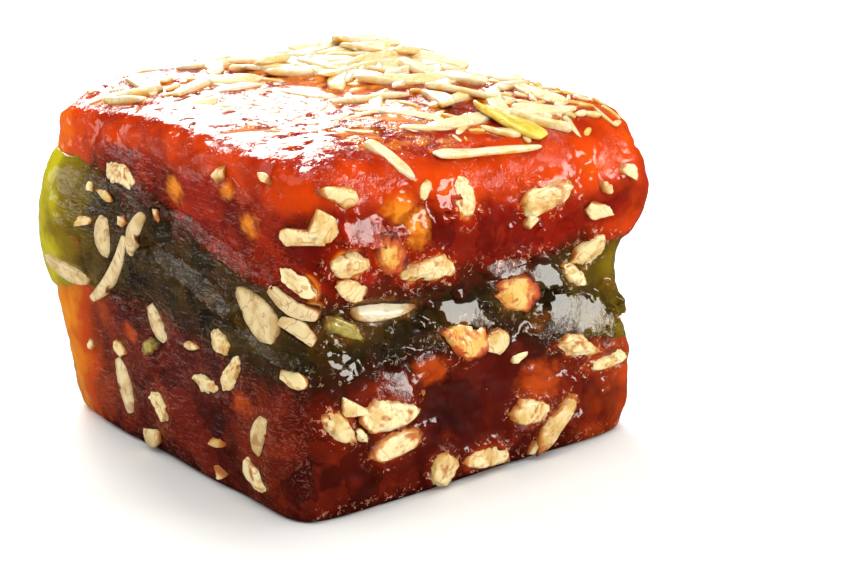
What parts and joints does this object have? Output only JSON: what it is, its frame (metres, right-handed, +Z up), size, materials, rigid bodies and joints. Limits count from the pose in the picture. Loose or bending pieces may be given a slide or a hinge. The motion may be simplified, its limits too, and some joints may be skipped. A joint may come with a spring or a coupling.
{
  "type": "nut halwa block",
  "caption": "Thick rectangular block of soft, glossy three-layer jelly sweet, set with broken nuts on every wall and strewn with nut slivers on top.",
  "frame": {"origin": "middle of the flat base, below the middle of the block's own box", "axes": "+Z up, through the layers; +X along the glossy wall at the right of the picture; +Y away from that wall, along the knife-cut wall at the left"},
  "size_m": [0.102, 0.1062, 0.0791],
  "materials": {
    "red_jelly": "wet gloss, translucent",
    "green_jelly": "wet gloss, translucent",
    "orange_red_jelly": "wet gloss, translucent",
    "cashew": "satin, glazed with syrup",
    "almond": "satin, glazed with syrup",
    "almond_flake": "satin, glazed with syrup"
  },
  "bodies": {
    "root": {"almond_east_04": "almond", "almond_east_09": "almond", "almond_north_04": "almond", "almond_north_09": "almond", "almond_west_07": "almond", "cashew_east_01": "cashew", "cashew_east_03": "cashew", "cashew_east_05": "cashew", "cashew_east_06": "cashew", "cashew_east_08": "cashew", "cashew_north_01": "cashew", "cashew_north_03": "cashew", "cashew_north_05": "cashew", "cashew_north_06": "cashew", "cashew_north_08": "cashew", "cashew_north_10": "cashew", "cashew_south_01": "cashew", "cashew_south_02": "cashew", "cashew_south_03": "cashew", "cashew_south_04": "cashew", "cashew_south_05": "cashew", "cashew_south_06": "cashew", "cashew_south_07": "cashew", "cashew_south_09": "cashew", "cashew_south_10": "cashew", "cashew_south_11": "cashew", "cashew_south_12": "cashew", "cashew_south_13": "cashew", "cashew_south_14": "cashew", "cashew_south_15": "cashew", "cashew_south_16": "cashew", "cashew_south_17": "cashew", "cashew_south_18": "cashew", "cashew_south_19": "cashew", "cashew_south_20": "cashew", "cashew_west_01": "cashew", "cashew_west_06": "cashew", "cashew_west_11": "cashew", "cashew_west_12": "cashew", "cashew_west_13": "cashew", "cashew_west_14": "cashew", "cashew_west_16": "cashew", "cashew_west_18": "cashew", "flake_south_08": "almond_flake", "halwa_bottom_layer": "red_jelly", "halwa_middle_layer": "green_jelly", "halwa_top_layer": "orange_red_jelly", "sliver_east_02": "almond", "sliver_east_07": "almond", "sliver_north_02": "almond", "sliver_north_07": "almond", "sliver_west_02": "almond", "sliver_west_03": "almond", "sliver_west_04": "almond", "sliver_west_05": "almond", "sliver_west_08": "almond", "sliver_west_09": "almond", "sliver_west_10": "almond", "sliver_west_15": "almond", "sliver_west_17": "almond"}
  },
  "joints": []
}
